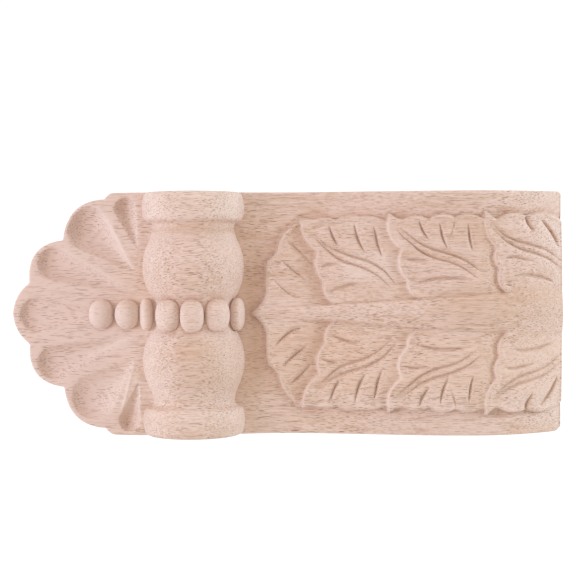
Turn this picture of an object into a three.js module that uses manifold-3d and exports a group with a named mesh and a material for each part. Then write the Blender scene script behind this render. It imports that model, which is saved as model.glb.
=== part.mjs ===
// A carved wooden corbel, one solid piece. Millimetres, +Z up.
// The flat back is at y = 0 and the carved front faces -Y. The origin is at the centre of the back.
// From the top down: the square-cut bearing end, the overlapping leaf, the turned roll with its
// string of beads, and the scalloped shell that hangs below it.
import * as THREE from 'three';
import { mergeVertices } from 'three/addons/utils/BufferGeometryUtils.js';
import Module from 'manifold-3d';

// Driving sizes of the block
const LENGTH = 250;
const WIDTH = 109;
const DEPTH = 52;

// Driving sizes of the turned roll, whose crest sets the depth
const ROLL_RADIUS = 23.4;
const ROLL_WAIST = 18.9;
const ROLL_NECK = 19.4;
const ROLL_HEIGHT = -41.8;

// Driving sizes of the front face: how far it stands from the wall
const VALLEY_DEPTH = 30.6;
const CREST_RISE = 10.4;
const END_DEPTH = 25.7;
const SHELL_ROOT_DEPTH = 36.5;
const SHELL_TIP_DEPTH = 23.4;

// Driving sizes of the carving
const LEAF_EDGE_RISE = 4.8;
const LEAF_TUCK_RISE = 2.4;
const RIB_RISE = 6.2;
const VEIN_DEPTH = 1.5;
const STROKE_DEPTH = 1.6;
const SCOOP_DEPTH = 4.6;
const BEAD_RISE = 4.6;

const HALF_LENGTH = LENGTH / 2;
const HALF_WIDTH = WIDTH / 2;
const ROLL_DEPTH = DEPTH - ROLL_RADIUS;

// Outlines are drawn on a sheet 125 mm above and below the middle and 54.5 mm to each side.
// A place on the sheet is given as its distance across from the middle line and its height.
const across = (distance) => distance * HALF_WIDTH / 54.5;
const along = (height) => height * HALF_LENGTH / 125;
const place = (distance, height) => new THREE.Vector2(across(distance), along(height));

const wasm = await Module();
wasm.setup();

// A closed geometry as a solid for cutting and joining
function solid(geometry) {
  const bare = geometry.clone();
  bare.deleteAttribute('normal');
  bare.deleteAttribute('uv');
  const welded = mergeVertices(bare, 1e-4);
  return new wasm.Manifold(new wasm.Mesh({
    numProp: 3,
    vertProperties: new Float32Array(welded.attributes.position.array),
    triVerts: new Uint32Array(welded.index.array),
  }));
}

function toGeometry(body) {
  const mesh = body.getMesh();
  const geometry = new THREE.BufferGeometry();
  geometry.setAttribute('position', new THREE.BufferAttribute(new Float32Array(mesh.vertProperties), 3));
  geometry.setIndex(Array.from(mesh.triVerts));
  geometry.computeVertexNormals();
  return geometry;
}

const union = (bodies) => bodies.reduce((all, body) => all.add(body));
const mirrored = (points) => points.map((p) => new THREE.Vector2(-p.x, p.y));

// Depth of the plain front face at a height: shell slope, valley, swelling crest, falling end
const SHELL_TOP = -64;
const VALLEY_END = -3;
const CREST = 82;
function frontDepth(height) {
  const z = height * 125 / HALF_LENGTH;
  if (z < -55) {
    const share = (SHELL_TOP - z) / (SHELL_TOP + 125);
    return SHELL_ROOT_DEPTH - share * (SHELL_ROOT_DEPTH - SHELL_TIP_DEPTH);
  }
  if (z < VALLEY_END) {
    return VALLEY_DEPTH;
  }
  if (z < CREST) {
    const turn = Math.PI * (z - VALLEY_END) / (CREST - VALLEY_END);
    return VALLEY_DEPTH + CREST_RISE * (1 - Math.cos(turn)) / 2;
  }
  const share = (z - CREST) / (125 - CREST);
  return VALLEY_DEPTH + CREST_RISE - (VALLEY_DEPTH + CREST_RISE - END_DEPTH) * share ** 2.1;
}

// A side view, as points of depth and height, drawn right across the width
function throughWidth(points, width) {
  const shape = new THREE.Shape(points.map((p) => new THREE.Vector2(-p.x, p.y)));
  const geometry = new THREE.ExtrudeGeometry(shape, { depth: width, bevelEnabled: false });
  geometry.translate(0, 0, -width / 2);
  const turn = new THREE.Matrix4().set(0, 0, 1, 0, 1, 0, 0, 0, 0, 1, 0, 0, 0, 0, 0, 1);
  return solid(geometry.applyMatrix4(turn));
}

// A front view, as points across and up, drawn from the wall out to a depth
function throughDepth(points, from, to) {
  const geometry = new THREE.ExtrudeGeometry(new THREE.Shape(points), { depth: to - from, bevelEnabled: false });
  geometry.rotateX(Math.PI / 2);
  geometry.translate(0, -from, 0);
  return solid(geometry);
}

// A scalloped line: each leg runs to a place on the sheet and swells to its left by the given amount
function scallops(start, legs, steps = 5) {
  const line = [start];
  for (const [distance, height, swell] of legs) {
    const from = line[line.length - 1];
    const to = place(distance, height);
    const side = new THREE.Vector2(-(to.y - from.y), to.x - from.x).normalize();
    const middle = from.clone().lerp(to, 0.5).addScaledVector(side, 2 * swell);
    const curve = new THREE.QuadraticBezierCurve(from, middle, to);
    line.push(...curve.getPoints(steps).slice(1));
  }
  return line;
}

// The block seen from the side, with the whole front face
const heights = [];
for (let i = 0; i <= 10; i += 1) {
  heights.push(along(VALLEY_END + (CREST - VALLEY_END) * i / 10));
}
for (let i = 1; i <= 8; i += 1) {
  heights.push(along(CREST + (125 - CREST) * i / 8));
}
const side = [
  new THREE.Vector2(0, HALF_LENGTH),
  new THREE.Vector2(0, -HALF_LENGTH),
  new THREE.Vector2(SHELL_TIP_DEPTH, -HALF_LENGTH),
  new THREE.Vector2(SHELL_ROOT_DEPTH, along(SHELL_TOP)),
  new THREE.Vector2(SHELL_ROOT_DEPTH, ROLL_HEIGHT),
  new THREE.Vector2(VALLEY_DEPTH, ROLL_HEIGHT),
];
for (const z of heights) {
  side.push(new THREE.Vector2(frontDepth(z), z));
}

// The front view of the block: straight sides down to the shell, then its seven scallops
const shellHalf = scallops(place(0, -125), [
  [14.0, -117.0, -1.9],
  [33.3, -100.9, -6.3],
  [51.6, -81.4, -5.9],
  [54.5, -76.0, -0.9],
], 7);
const blockHalf = [...shellHalf, new THREE.Vector2(HALF_WIDTH, HALF_LENGTH)];
const blockFront = [...blockHalf, ...mirrored(blockHalf).reverse().slice(0, -1)];
let block = throughWidth(side, WIDTH).intersect(throughDepth(blockFront, -1, DEPTH + 1));

// The shell's flutes: a drop laid in the sloping face, pointed at the roll and round at the rim
function scoop(distance, height, radius, pointDistance, pointHeight, depth) {
  const onFace = (d, h) => new THREE.Vector3(across(d), -frontDepth(along(h)), along(h));
  const centre = onFace(distance, height);
  const point = onFace(pointDistance, pointHeight);
  const reach = centre.distanceTo(point);
  const r = across(radius);
  const open = Math.acos(r / reach);
  const profile = [new THREE.Vector2(0, -reach)];
  for (let i = 0; i <= 8; i += 1) {
    const turn = open + (Math.PI - open) * i / 8;
    const ring = new THREE.Vector2(r * Math.sin(turn), -r * Math.cos(turn));
    profile.push(i === 8 ? new THREE.Vector2(0, r) : ring);
  }
  const geometry = new THREE.LatheGeometry(profile, 18);
  geometry.scale(1, 1, depth / r);
  const axis = centre.clone().sub(point).normalize();
  const out = new THREE.Vector3(1, 0, 0).cross(axis).normalize();
  const level = axis.clone().cross(out);
  geometry.applyMatrix4(new THREE.Matrix4().makeBasis(level, axis, out));
  geometry.translate(centre.x, centre.y, centre.z);
  return solid(geometry);
}
const scoops = [scoop(0, -113.4, 7.0, 0, -50, SCOOP_DEPTH * 0.8)];
for (const hand of [-1, 1]) {
  scoops.push(scoop(hand * 20.5, -106.2, 7.5, hand * 9.1, -65.5, SCOOP_DEPTH * 0.9));
  scoops.push(scoop(hand * 38.2, -88.4, 10.2, hand * 20.2, -68.2, SCOOP_DEPTH));
  scoops.push(scoop(hand * 45.3, -67.2, 8.2, hand * 28.7, -66.4, SCOOP_DEPTH * 0.9));
}
block = block.subtract(union(scoops));

// The turned roll: waist, swelling bulb, neck, step and collar, the same to both sides
const halfRoll = new THREE.CatmullRomCurve3([
  [0, ROLL_WAIST],
  [5.8, ROLL_WAIST + 0.1],
  [12.8, ROLL_RADIUS - 1.3],
  [21.6, ROLL_RADIUS],
  [29.5, ROLL_RADIUS - 1.8],
  [37.8, ROLL_NECK],
  [40.4, ROLL_NECK + 0.4],
].map(([x, r]) => new THREE.Vector3(across(x), r, 0)), false, 'centripetal').getPoints(17);
const collar = [
  [41.2, ROLL_NECK + 2.6],
  [42.8, ROLL_RADIUS - 0.4],
  [46.8, ROLL_RADIUS],
  [51.6, ROLL_RADIUS - 0.3],
  [53.6, ROLL_RADIUS - 0.9],
  [54.5, ROLL_RADIUS - 1.9],
].map(([x, r]) => new THREE.Vector3(across(x), r, 0));
const turned = [...halfRoll, ...collar].map((p) => new THREE.Vector2(p.y, p.x));
const rollProfile = [
  new THREE.Vector2(0, -HALF_WIDTH),
  ...turned.slice(1).reverse().map((p) => new THREE.Vector2(p.x, -p.y)),
  ...turned,
  new THREE.Vector2(0, HALF_WIDTH),
];
const rollGeometry = new THREE.LatheGeometry(rollProfile, 40);
rollGeometry.rotateZ(-Math.PI / 2);
rollGeometry.translate(0, -ROLL_DEPTH, ROLL_HEIGHT);
const roll = solid(rollGeometry);

// The beads: five round the waist of the roll and two on the shell below it
function bead(depth, height, lean) {
  const geometry = new THREE.SphereGeometry(1, 14, 10);
  geometry.scale(across(7.0), BEAD_RISE, 5.2);
  geometry.rotateX(lean);
  geometry.translate(0, -depth, height);
  return solid(geometry);
}
const beads = [];
for (let i = -2; i <= 2; i += 1) {
  const lean = THREE.MathUtils.degToRad(3 + 34.5 * i);
  const reach = ROLL_RADIUS + 0.2 - BEAD_RISE;
  beads.push(bead(ROLL_DEPTH + reach * Math.cos(lean), ROLL_HEIGHT + reach * Math.sin(lean), -lean));
}
for (const height of [-82.7, -70.9]) {
  beads.push(bead(frontDepth(along(height)) - 0.6, along(height), 0.22));
}

// The leaf grows in four overlapping tiers. Each one stands highest at its free lower edge and
// sinks towards the edge of the next, which lies on it.
const TIER_STARTS = [-14.8, 6.8, 45.4, 87.2];
const TIER_SLOPE = (LEAF_EDGE_RISE - LEAF_TUCK_RISE) / 42;
const tierRise = (tier, height) => LEAF_EDGE_RISE - TIER_SLOPE * (height * 125 / HALF_LENGTH - TIER_STARTS[tier]);
const tierDepth = (tier, height) => frontDepth(height) + tierRise(tier, height);

// Each tier's half outline: along its free edge from the middle out, up its side, and back in
const tierEdges = [
  [[[4.5, -10.4, 0.5], [11, -8.4, 0.6], [23.3, -7.9, -0.3], [27.5, -3.5, 0.2], [41.5, 6.6, -1.8]],
    [[41.8, 16, -0.3], [30, 24, 0], [0, 26, 0]]],
  [[[3.3, 20.5, 0], [15.5, 15.6, -1.6], [27.3, 13.6, -1.5], [42.2, 6.8, -1.7]],
    [[41.7, 22.9, -0.8], [43.2, 33.1, -0.6], [41.4, 44.3, -0.8], [41.4, 52, 0], [30, 62, 0], [0, 64, 0]]],
  [[[6.8, 58.7, 0], [16.3, 52.1, -1.8], [28.8, 50.6, -1.9], [44.0, 45.5, -2.6]],
    [[41.5, 52.2, 0.7], [41.5, 63.7, -1.4], [42.0, 75.0, -1.8], [42.0, 86.6, -1.2], [41.5, 92, 0],
      [30, 100, 0], [0, 102, 0]]],
  [[[9.2, 95.7, 0], [19.5, 92.7, -1.0], [28.7, 91.2, -1.0], [44.9, 87.2, -2.2]],
    [[41.4, 92.3, 0.7], [43.0, 107.0, -1.7], [44.0, 125.0, -1.9], [0, 125, 0]]],
];
const tierInner = [-14.8, 20.5, 58.7, 95.7];
const tierBodies = tierEdges.map(([edge, rest], tier) => {
  const half = scallops(place(0, tierInner[tier]), [...edge, ...rest], 4);
  const outline = [...half, ...mirrored(half).reverse().slice(1, -1)];
  const low = along(TIER_STARTS[tier] - 6);
  const high = Math.max(...half.map((p) => p.y));
  const face = [new THREE.Vector2(12, high), new THREE.Vector2(12, low)];
  for (let i = 0; i <= 10; i += 1) {
    const z = low + (high - low) * i / 10;
    face.push(new THREE.Vector2(tierDepth(tier, z), z));
  }
  return throughWidth(face, WIDTH).intersect(throughDepth(outline, 5, DEPTH + 5));
});

// The midrib: a rounded rib that widens from the leaf's tip to the top end
const ribWidth = (z) => 0.9 + 8.2 * ((z + 14.8) / 139.8) ** 0.75;
const ribRings = [];
const RIB_STEPS = 18;
const RIB_SIDES = 8;
for (let i = 0; i <= RIB_STEPS; i += 1) {
  const z = -13 + 138 * i / RIB_STEPS;
  const rise = 3.6 + (RIB_RISE - 3.6) * Math.min(1, i / (RIB_STEPS * 0.7));
  const ring = [];
  for (let j = 0; j <= RIB_SIDES; j += 1) {
    const turn = Math.PI * j / RIB_SIDES;
    const depth = frontDepth(along(z)) - 4 + (rise + 4) * Math.sin(turn) ** 0.7;
    ring.push([across(-ribWidth(z) * Math.cos(turn)), -depth, along(z)]);
  }
  ribRings.push(ring);
}
// Rings of points joined to a closed skin, with the first and last ring filled
function skin(rings) {
  const count = rings[0].length;
  const points = rings.flat(2);
  const faces = [];
  for (let i = 0; i + 1 < rings.length; i += 1) {
    for (let j = 0; j < count; j += 1) {
      const a = i * count + j;
      const b = i * count + (j + 1) % count;
      faces.push(a, b, b + count, a, b + count, a + count);
    }
  }
  const last = (rings.length - 1) * count;
  for (let j = 1; j + 1 < count; j += 1) {
    faces.push(0, j + 1, j);
    faces.push(last, last + j, last + j + 1);
  }
  const geometry = new THREE.BufferGeometry();
  geometry.setAttribute('position', new THREE.Float32BufferAttribute(points, 3));
  geometry.setIndex(faces);
  return geometry;
}
const rib = solid(skin(ribRings));

// A gouge cut: a V along a line on a tier, deepest in its middle, running out at both ends
function gouge(tier, line, halfWidth, depth) {
  const curve = new THREE.CatmullRomCurve3(line.map(([distance, height]) => (
    new THREE.Vector3(across(distance), 0, along(height)))));
  const steps = line.length + 1;
  const rings = [];
  for (let i = 0; i <= steps; i += 1) {
    const share = i / steps;
    const full = Math.max(0.12, Math.sin(Math.PI * (0.04 + 0.92 * share)) ** 0.6);
    const p = curve.getPoint(share);
    const t = curve.getTangent(share);
    const wide = new THREE.Vector3(-t.z, 0, t.x).multiplyScalar(halfWidth * full);
    const face = tierDepth(tier, p.z);
    rings.push([
      [p.x + wide.x * 1.6, -face - 0.6 * depth, p.z + wide.z * 1.6],
      [p.x - wide.x * 1.6, -face - 0.6 * depth, p.z - wide.z * 1.6],
      [p.x, -face + depth * full, p.z],
    ]);
  }
  return skin(rings);
}

// Two veins on each side of a tier bound a long rib that sweeps from the edge in to the midrib
const veins = [
  [1, [[35.2, 13.8], [27.8, 24.4], [24.6, 34], [19, 43.6], [13, 49]]],
  [1, [[34.0, 13.2], [25.0, 23.5], [21.4, 32], [16.4, 41.9], [11.8, 46]]],
  [2, [[38.3, 50.2], [29, 63.7], [26.3, 72.4], [18.8, 85.5]]],
  [2, [[37.5, 49.3], [26.3, 61.9], [23.2, 70.2], [14.8, 85.1]]],
  [3, [[38.1, 92.7], [31.9, 103], [28.4, 115], [22, 123.9]]],
  [3, [[36.8, 91.8], [28.4, 103.5], [25.2, 115], [18.8, 123.9]]],
];
const strokes = [
  [0, [[31.6, 1.5], [28.4, 4.6], [23, 9.6]]],
  [0, [[22.6, -1.6], [19.4, 2], [14.4, 8]]],
  [0, [[15, -5.2], [11.4, -2.1], [6.8, 5.4]]],
  [1, [[39.1, 19.8], [35, 21.2], [30.5, 23.8]]],
  [1, [[39.4, 30.9], [33.4, 32.4], [27.4, 35.3]]],
  [1, [[38.4, 39.3], [32.8, 40.5], [25.5, 42.8]]],
  [1, [[10, 20.3], [12, 26], [13.1, 33.1]]],
  [2, [[40.5, 59.3], [36.9, 60.6], [33, 63.2]]],
  [2, [[39.5, 68.4], [34.5, 69.4], [28.5, 71.5]]],
  [2, [[38.6, 80.7], [33, 81.4], [28, 82.4]]],
  [2, [[13.6, 57.6], [15.4, 66], [15, 81]]],
  [3, [[43, 106.7], [38.8, 108.4], [34.1, 111.5]]],
  [3, [[40, 115.5], [36.6, 118.6], [31, 121.8]]],
  [3, [[16, 100.5], [16.6, 108], [14.8, 118]]],
];
const cuts = [];
for (const hand of [-1, 1]) {
  const handed = (line) => line.map(([distance, height]) => [hand * distance, height]);
  for (const [tier, line] of veins) {
    cuts.push(solid(gouge(tier, handed(line), 0.9, VEIN_DEPTH)));
  }
  for (const [tier, line] of strokes) {
    cuts.push(solid(gouge(tier, handed(line), 1.2, STROKE_DEPTH)));
  }
}

const leaf = union([...tierBodies, rib]).subtract(union(cuts));
// Slivers left where cuts cross are closed up, within a few hundredths of a millimetre
const bounds = solid(new THREE.BoxGeometry(WIDTH, 4 * DEPTH, LENGTH));
const body = union([block, roll, ...beads, leaf]).intersect(bounds).asOriginal().simplify(0.03);

const object = new THREE.Group();
object.name = 'wooden_corbel';
const wood = new THREE.MeshStandardMaterial({ name: 'bare_hardwood', color: 0xdcc0ae, roughness: 0.6 });
const corbel = new THREE.Mesh(toGeometry(body), wood);
corbel.name = 'corbel';
object.add(corbel);
export default object;
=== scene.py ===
"""A carved wooden corbel: an overlapping leaf, a turned roll with a string of beads, and a scalloped shell.
Metres in Blender, millimetres in the mesh code. The flat back is at y = 0, the front faces -Y, +Z is up."""
import math

import bpy
import numpy as np
from mathutils import Matrix, Vector


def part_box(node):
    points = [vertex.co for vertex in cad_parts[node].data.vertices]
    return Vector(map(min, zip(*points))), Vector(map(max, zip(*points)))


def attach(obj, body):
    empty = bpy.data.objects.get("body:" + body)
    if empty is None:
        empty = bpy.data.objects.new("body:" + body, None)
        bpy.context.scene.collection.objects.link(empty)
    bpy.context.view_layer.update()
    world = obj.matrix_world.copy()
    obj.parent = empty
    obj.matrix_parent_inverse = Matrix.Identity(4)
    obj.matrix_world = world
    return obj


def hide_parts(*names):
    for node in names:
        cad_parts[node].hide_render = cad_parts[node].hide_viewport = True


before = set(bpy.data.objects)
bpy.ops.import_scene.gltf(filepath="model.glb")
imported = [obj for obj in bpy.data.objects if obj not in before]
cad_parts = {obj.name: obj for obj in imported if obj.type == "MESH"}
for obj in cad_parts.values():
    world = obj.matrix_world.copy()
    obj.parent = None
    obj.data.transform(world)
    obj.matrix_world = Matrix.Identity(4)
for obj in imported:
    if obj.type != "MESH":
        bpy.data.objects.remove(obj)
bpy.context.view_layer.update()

scene = bpy.context.scene


# The camera stands level in front of the carved face. The corbel lies on its side in the view,
# with the shell to the left, so the camera's right is the corbel's up.
FOCAL_PIXELS = 1230.0
IMAGE_WIDTH = 576.0
PRINCIPAL_DROP = 33.0
CORBEL_SLOPE = 0.0045
SENSOR_WIDTH = 36.0
CAMERA_PLACE = (-0.0262, -0.5856, 0.0011)
camera_data = bpy.data.cameras.new("camera")
camera_data.sensor_width = SENSOR_WIDTH
camera_data.lens = SENSOR_WIDTH * FOCAL_PIXELS / IMAGE_WIDTH
camera_data.clip_start = 0.01
camera = bpy.data.objects.new("camera", camera_data)
scene.collection.objects.link(camera)
scene.camera = camera
tilt = math.atan(PRINCIPAL_DROP / FOCAL_PIXELS)
right = Vector((math.sin(CORBEL_SLOPE), 0.0, math.cos(CORBEL_SLOPE)))
level_up = Vector((-math.cos(CORBEL_SLOPE), 0.0, math.sin(CORBEL_SLOPE)))
forward = Vector((0.0, 1.0, 0.0)) * math.cos(tilt) - level_up * math.sin(tilt)
up = level_up * math.cos(tilt) + Vector((0.0, 1.0, 0.0)) * math.sin(tilt)
turn = Matrix((right, up, -forward)).transposed()
camera.matrix_world = Matrix.Translation(CAMERA_PLACE) @ turn.to_4x4()


# The corbel is one block of pale bare hardwood with its grain running up and down, sawn flat at the
# back, sides and top, and fixed by its back. Its front is carved: a leaf of overlapping tiers, a
# turned roll with a string of beads over it, and a shell of seven flutes.
highest_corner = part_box("corbel")[1]
HALF_WIDTH = round(highest_corner.x * 1000.0, 1)
HALF_LENGTH = round(highest_corner.z * 1000.0, 1)
DEPTH = 52.0

# The plain front: its distance from the wall in the valley above the roll, at the crest and at the
# top end, the heights at which it turns, and the cove by which it rises to the roll
VALLEY_DEPTH = 30.6
VALLEY_END = -3.0
CREST_RISE = 10.4
CREST_HEIGHT = 82.0
END_DEPTH = 25.7
COVE_RISE = 1.3
COVE_LENGTH = 15.0


def smooth(low, high, value):
    """Smooth step: 0 up to low, 1 from high, and 3 s squared less 2 s cubed between."""
    share = np.clip((value - low) / (high - low), 0.0, 1.0)
    return share * share * (3.0 - 2.0 * share)


def bell(distance, width):
    """A bell curve: e to the power of minus the square of distance over width."""
    return np.exp(-(distance / width) ** 2)


def patch(x, z, place, size):
    """A soft oval patch: the product of a bell curve across and one up and down."""
    return np.exp(-((x - place[0]) / size[0]) ** 2 - ((z - place[1]) / size[1]) ** 2)


def by_side(x, left, right):
    """One value on the side of -X and another on the side of +X, where most painted shade is fainter."""
    return np.where(x < 0.0, left, right)


def wobble(x, z, size, seed):
    """A slow uneven drift between -1 and 1: the mean of three sine waves in different directions."""
    a = np.sin((x * 0.83 + z * 0.41) / size + seed)
    b = np.sin((z * 0.94 - x * 0.37) / size * 1.31 + 2.1 * seed)
    c = np.sin((x * 0.52 - z * 0.77) / size * 1.73 + 3.7 * seed)
    return (a + b + c) / 3.0


def front_depth(z):
    """How far the plain front stands from the wall: a raised cosine from valley to crest, a power
    curve that falls to the top end, and a parabola that rises a little to the roll."""
    swell = CREST_RISE * (1.0 - np.cos(np.pi * (z - VALLEY_END) / (CREST_HEIGHT - VALLEY_END))) / 2.0
    over = np.clip((z - CREST_HEIGHT) / (HALF_LENGTH - CREST_HEIGHT), 0.0, 1.0)
    fall = (VALLEY_DEPTH + CREST_RISE - END_DEPTH) * over ** 2.1
    cove = COVE_RISE * np.clip((VALLEY_END - z) / COVE_LENGTH, 0.0, 1.3) ** 2
    depth = np.where(z < CREST_HEIGHT, VALLEY_DEPTH + swell, VALLEY_DEPTH + CREST_RISE - fall)
    return np.where(z < VALLEY_END, VALLEY_DEPTH + cove, depth)


def scallops(start, legs, steps=8):
    """A line of arcs through places on the front, each a parabola that swells to its left."""
    line = [np.array(start, float)]
    for distance, height, swell in legs:
        begin = line[-1]
        end = np.array((distance, height), float)
        along = end - begin
        side = np.array((-along[1], along[0])) / np.hypot(*along)
        for share in np.arange(1, steps + 1) / steps:
            line.append(begin + along * share + side * swell * 4.0 * share * (1.0 - share))
    return np.array(line)


def flowing(points, steps=5):
    """A smooth line through a few points, by Catmull-Rom's cubic between each two of them."""
    given = np.array(points, float)
    padded = np.vstack((2 * given[0] - given[1], given, 2 * given[-1] - given[-2]))
    line = [given[0]]
    for i in range(len(given) - 1):
        a, b, c, d = padded[i:i + 4]
        for s in np.arange(1, steps + 1) / steps:
            line.append(0.5 * (2 * b + (c - a) * s + (2 * a - 5 * b + 4 * c - d) * s ** 2
                               + (3 * b - a - 3 * c + d) * s ** 3))
    return np.array(line)


def nearest(x, z, lines):
    """The distance to the nearest of some lines, the nearest point, and how far along its line it is."""
    best = np.full(x.shape, 1e9)
    at_x = x.copy()
    at_z = z.copy()
    along = np.zeros(x.shape)
    for line in lines:
        pieces = len(line) - 1
        for i, (a, b) in enumerate(zip(line[:-1], line[1:])):
            dx, dz = b - a
            share = np.clip(((x - a[0]) * dx + (z - a[1]) * dz) / (dx * dx + dz * dz), 0.0, 1.0)
            px = a[0] + share * dx
            pz = a[1] + share * dz
            distance = np.hypot(x - px, z - pz)
            closer = distance < best
            best = np.where(closer, distance, best)
            at_x = np.where(closer, px, at_x)
            at_z = np.where(closer, pz, at_z)
            along = np.where(closer, (i + share) / pieces, along)
    return best, at_x, at_z, along


def within(x, z, outline):
    """Whether each point lies in a closed outline: it does if a line to one side crosses it an odd
    number of times."""
    inside = np.zeros(x.shape, bool)
    for a, b in zip(outline, np.roll(outline, -1, axis=0)):
        spans = (a[1] > z) != (b[1] > z)
        rise = b[1] - a[1] if b[1] != a[1] else 1.0
        inside ^= spans & (x < a[0] + (z - a[1]) / rise * (b[0] - a[0]))
    return inside


def depth_inside(x, z, outline):
    """Distance from an outline's edge, positive inside it and negative outside."""
    closed = np.vstack((outline, outline[:1]))
    distance = nearest(x, z, [closed])[0]
    return np.where(within(x, z, outline), distance, -distance)


# Half outlines of the leaf's four tiers, from the middle line out along the free edge, up the side
# and back in, as distance from the middle, height and swell
TIERS = [
    scallops((-4, -21.0), [(4.4, -10.6, 0.5), (9.5, -8.6, 0.2), (23.3, -7.9, -0.5), (27.6, -3.4, 0.4),
                           (41.4, 6.4, -1.9), (41.8, 16, 0), (30, 26, 0), (-4, 28, 0)]),
    scallops((-4, 25.5), [(3.0, 23.4, 0.2), (13.9, 17.5, -2.3), (27.5, 14.8, -2.2), (42.6, 7.2, -2.3),
                          (42.0, 13.5, 0.3), (41.7, 22.8, -0.8), (43.2, 33.1, -1.0), (41.3, 44.4, -0.8),
                          (41.4, 52, 0), (30, 64, 0), (-4, 66, 0)]),
    scallops((-4, 61.0), [(6.8, 60.0, 0.2), (14.8, 53.8, -2.3), (28.8, 51.5, -2.6), (44.3, 46.2, -3.1),
                          (41.5, 52.2, 0.6), (41.4, 63.7, -1.5), (42.0, 75.0, -1.9), (42.0, 86.7, -1.3),
                          (41.5, 92, 0), (30, 102, 0), (-4, 104, 0)]),
    scallops((-4, 98.6), [(9.0, 97.9, 0.2), (19.3, 94.8, -2.1), (28.8, 93.5, -1.7), (45.0, 88.8, -2.7),
                          (41.5, 93.8, 0.6), (43.0, 107.0, -1.8), (40.5, 126.0, -2.8), (-4, 130, 0)]),
]

# Long veins in pairs, short gouge strokes between the lobes, and broad shallow inner strokes, as
# distance from the middle and height
VEINS = [flowing(points) for points in (
    [(36.3, 12.8), (32.6, 16.3), (30.0, 19.8), (27.7, 24.4), (26.0, 28.8), (24.5, 33.6), (22.8, 38.2),
     (19.4, 43.4), (16.2, 46.3), (12.9, 49.0)],
    [(35.0, 12.5), (31.4, 15.8), (28.2, 19.2), (24.8, 23.4), (22.8, 27.6), (21.3, 32.4), (19.4, 37.0),
     (16.0, 42.2), (11.2, 47.0)],
    [(39.1, 49.3), (33.9, 55.8), (31.2, 59.3), (29.0, 63.7), (27.5, 68.2), (25.9, 73.4), (23.4, 79.2),
     (20.8, 83.0), (18.4, 86.0)],
    [(38.1, 48.7), (34.2, 51.9), (31.5, 55.2), (28.4, 58.6), (26.0, 62.5), (24.2, 67.0), (22.4, 73.4),
     (19.6, 79.0), (15.0, 85.1)],
    [(39.2, 91.5), (35.2, 95.8), (33.0, 99.5), (31.4, 104.0), (29.6, 111.2), (27.6, 117.0), (22.0, 125.5)],
    [(37.9, 90.8), (33.4, 95.4), (30.6, 99.4), (28.0, 105.0), (26.4, 111.2), (23.6, 118.2), (18.0, 125.5)],
)]
STROKES = [flowing(points, 4) for points in (
    [(32.4, 1.2), (28.7, 5.6), (23.1, 11.3)],
    [(23.7, -1.7), (19.1, 3.6), (14.5, 9.6)],
    [(15.1, -5.4), (11.2, -1.6), (8.2, 2.4), (6.5, 7.2)],
    [(39.4, 19.6), (35.6, 20.9), (32.6, 22.3), (30.2, 24.0)],
    [(40.2, 30.6), (34.9, 31.8), (31.2, 33.2), (27.0, 35.6)],
    [(38.8, 39.2), (34.8, 40.1), (30.4, 41.0), (25.2, 42.9)],
    [(40.9, 59.2), (36.9, 60.6), (32.6, 63.5)],
    [(39.9, 68.2), (36.0, 68.9), (32.5, 69.8), (28.2, 71.7)],
    [(39.4, 80.6), (35.1, 81.1), (31.5, 81.6), (27.4, 82.6)],
    [(45.6, 105.9), (42.4, 106.6), (39.4, 107.8), (36.0, 110.2)],
    [(41.9, 113.6), (38.4, 117.2), (34.4, 120.3), (29.0, 123.0)],
)]
SHALLOWS = [flowing(points, 4) for points in (
    [(20.6, 15.6), (21.8, 19.6), (22.2, 23.4)],
    [(9.6, 19.8), (11.6, 24.6), (12.8, 29.2), (13.2, 33.4)],
    [(23.7, 52.8), (24.0, 57.2), (23.3, 63.0)],
    [(13.2, 57.0), (14.6, 61.8), (15.5, 67.2), (15.4, 75.0), (14.6, 82.0)],
    [(24.0, 96.3), (24.7, 101.0), (23.9, 105.0), (22.8, 111.2)],
    [(15.8, 100.0), (16.8, 105.0), (16.3, 111.0), (15.0, 116.4), (13.6, 120.2)],
    [(41.7, 75.0), (39.0, 74.6), (36.0, 73.7), (32.5, 72.4)],
)]

# How proud the leaf stands, and the rib along its middle: the height at which it starts, half its
# width there, how much that grows to the top, how high its crown is at the tip, how much that grows,
# and how deep the seams beside it are
LEAF_RISE = 3.6
RIB_TIP = -14.8
RIB_HALF_WIDTH = 0.7
RIB_SPREAD = 9.6
RIB_CROWN = 0.5
RIB_GROWTH = 1.9
SEAM_DEPTH = 0.6

# Where the next tier overlaps, a tier dips under its edge: how far, over what reach, and the share of
# it that is kept towards the sides. Then how much shade is painted close to that edge, and in a wide band
TUCKS = ((2.8, 6.5, 1.0), (1.4, 4.0, 1.0), (2.1, 3.4, 0.4))
FOOT_SHADES = (0.5, 0.3, 1.1)
BAND_SHADES = ((1.0, 14.0), (0.5, 7.0), (0.9, 9.0))

# The ground beside the leaf: deeper corners between the tiers, which get painted shade, as place, size
# and depth, and patches of painted shade, as place, size and tone
CORNERS = (((44.5, 13.5), (2.2, 5.5), 0.6), ((43.8, 51.5), (2.2, 4.2), 0.7),
           ((44.8, 95.0), (2.2, 4.5), 1.2))
GROUND_SHADES = (((-47.0, 15.0), (3.5, 7.0), 0.7), ((-46.5, 102.0), (4.0, 5.0), 0.7),
                 ((-7.0, -16.0), (6.0, 4.5), 1.1), ((38.0, -17.0), (8.0, 4.0), 0.8))


def gouged(distance, along, width, depth):
    """A gouge cut's depth: a bell across the line, and a boat shape along it that dies at both ends,
    a sine to the power 0.55."""
    boat = np.clip(np.sin(np.pi * np.clip(along, 0.0, 1.0)), 0.0, 1.0) ** 0.55
    return depth * boat * bell(distance, width * (0.45 + 0.55 * boat))


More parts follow.
